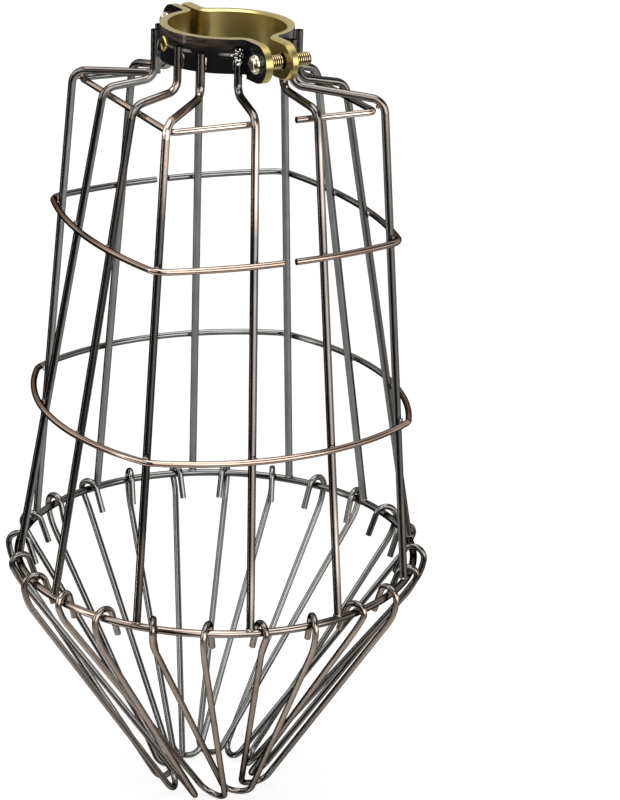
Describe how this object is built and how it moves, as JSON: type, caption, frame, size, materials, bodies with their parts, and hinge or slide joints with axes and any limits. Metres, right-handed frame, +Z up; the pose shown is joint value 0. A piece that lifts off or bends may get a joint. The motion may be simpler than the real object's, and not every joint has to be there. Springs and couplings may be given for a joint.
{
  "type": "bulb cage guard",
  "caption": "Wire cage guard for a light bulb, with a screw clamp collar for the lamp holder and hooked wire petals that swing open at the foot to let the bulb in.",
  "frame": {"origin": "middle of the collar's bore", "axes": "+Z up along the collar's axis, towards the lamp holder's cord; -Y is the pictured front"},
  "size_m": [0.1432, 0.1432, 0.269],
  "materials": {
    "cage_wire": "steel wire with a dark antique copper plating",
    "petal_wire": "steel wire with a dark antique copper plating",
    "collar": "satin brass inside and on the edges, glossy black outside",
    "clamp_screw": "pale bright brass plating"
  },
  "bodies": {
    "cage": {"collar_front": "collar", "collar_rear": "collar", "clamp_screw_right": "clamp_screw", "clamp_screw_left": "clamp_screw", "rib_01": "cage_wire", "rib_02": "cage_wire", "rib_03": "cage_wire", "rib_04": "cage_wire", "rib_05": "cage_wire", "rib_06": "cage_wire", "rib_07": "cage_wire", "rib_08": "cage_wire", "rib_09": "cage_wire", "rib_10": "cage_wire", "rib_11": "cage_wire", "rib_12": "cage_wire", "shoulder_hoop_front": "cage_wire", "shoulder_hoop_rear": "cage_wire", "upper_hoop_front": "cage_wire", "upper_hoop_rear": "cage_wire", "lower_hoop_front": "cage_wire", "lower_hoop_rear": "cage_wire", "hem_ring": "cage_wire"},
    "petal_01": {"petal_01": "petal_wire"},
    "petal_02": {"petal_02": "petal_wire"},
    "petal_03": {"petal_03": "petal_wire"},
    "petal_04": {"petal_04": "petal_wire"},
    "petal_05": {"petal_05": "petal_wire"},
    "petal_06": {"petal_06": "petal_wire"},
    "petal_07": {"petal_07": "petal_wire"},
    "petal_08": {"petal_08": "petal_wire"},
    "petal_09": {"petal_09": "petal_wire"},
    "petal_10": {"petal_10": "petal_wire"},
    "petal_11": {"petal_11": "petal_wire"},
    "petal_12": {"petal_12": "petal_wire"}
  },
  "joints": [
    {"name": "petal_01_hinge", "type": "hinge", "parent": "cage", "child": "petal_01", "pos_m": [-0.06162, -0.00593, -0.1762], "axis": [-0.0958, 0.9954, 0], "range_deg": [0, 105]},
    {"name": "petal_02_hinge", "type": "hinge", "parent": "cage", "child": "petal_02", "pos_m": [-0.05039, -0.03594, -0.1762], "axis": [-0.5807, 0.8141, 0], "range_deg": [0, 105]},
    {"name": "petal_03_hinge", "type": "hinge", "parent": "cage", "child": "petal_03", "pos_m": [-0.02567, -0.05633, -0.1762], "axis": [-0.91, 0.4147, 0], "range_deg": [0, 105]},
    {"name": "petal_04_hinge", "type": "hinge", "parent": "cage", "child": "petal_04", "pos_m": [0.00593, -0.06162, -0.1762], "axis": [-0.9954, -0.0958, 0], "range_deg": [0, 105]},
    {"name": "petal_05_hinge", "type": "hinge", "parent": "cage", "child": "petal_05", "pos_m": [0.03594, -0.05039, -0.1762], "axis": [-0.8141, -0.5807, 0], "range_deg": [0, 105]},
    {"name": "petal_06_hinge", "type": "hinge", "parent": "cage", "child": "petal_06", "pos_m": [0.05633, -0.02567, -0.1762], "axis": [-0.4147, -0.91, 0], "range_deg": [0, 105]},
    {"name": "petal_07_hinge", "type": "hinge", "parent": "cage", "child": "petal_07", "pos_m": [0.06162, 0.00593, -0.1762], "axis": [0.0958, -0.9954, 0], "range_deg": [0, 105]},
    {"name": "petal_08_hinge", "type": "hinge", "parent": "cage", "child": "petal_08", "pos_m": [0.05039, 0.03594, -0.1762], "axis": [0.5807, -0.8141, 0], "range_deg": [0, 105]},
    {"name": "petal_09_hinge", "type": "hinge", "parent": "cage", "child": "petal_09", "pos_m": [0.02567, 0.05633, -0.1762], "axis": [0.91, -0.4147, 0], "range_deg": [0, 105]},
    {"name": "petal_10_hinge", "type": "hinge", "parent": "cage", "child": "petal_10", "pos_m": [-0.00593, 0.06162, -0.1762], "axis": [0.9954, 0.0958, 0], "range_deg": [0, 105]},
    {"name": "petal_11_hinge", "type": "hinge", "parent": "cage", "child": "petal_11", "pos_m": [-0.03594, 0.05039, -0.1762], "axis": [0.8141, 0.5807, 0], "range_deg": [0, 105]},
    {"name": "petal_12_hinge", "type": "hinge", "parent": "cage", "child": "petal_12", "pos_m": [-0.05633, 0.02567, -0.1762], "axis": [0.4147, 0.91, 0], "range_deg": [0, 105]}
  ],
  "couplings": [
    {"joint": "petal_02_hinge", "follows": "petal_01_hinge", "ratio": 1},
    {"joint": "petal_03_hinge", "follows": "petal_01_hinge", "ratio": 1},
    {"joint": "petal_04_hinge", "follows": "petal_01_hinge", "ratio": 1},
    {"joint": "petal_05_hinge", "follows": "petal_01_hinge", "ratio": 1},
    {"joint": "petal_06_hinge", "follows": "petal_01_hinge", "ratio": 1},
    {"joint": "petal_07_hinge", "follows": "petal_01_hinge", "ratio": 1},
    {"joint": "petal_08_hinge", "follows": "petal_01_hinge", "ratio": 1},
    {"joint": "petal_09_hinge", "follows": "petal_01_hinge", "ratio": 1},
    {"joint": "petal_10_hinge", "follows": "petal_01_hinge", "ratio": 1},
    {"joint": "petal_11_hinge", "follows": "petal_01_hinge", "ratio": 1},
    {"joint": "petal_12_hinge", "follows": "petal_01_hinge", "ratio": 1}
  ]
}
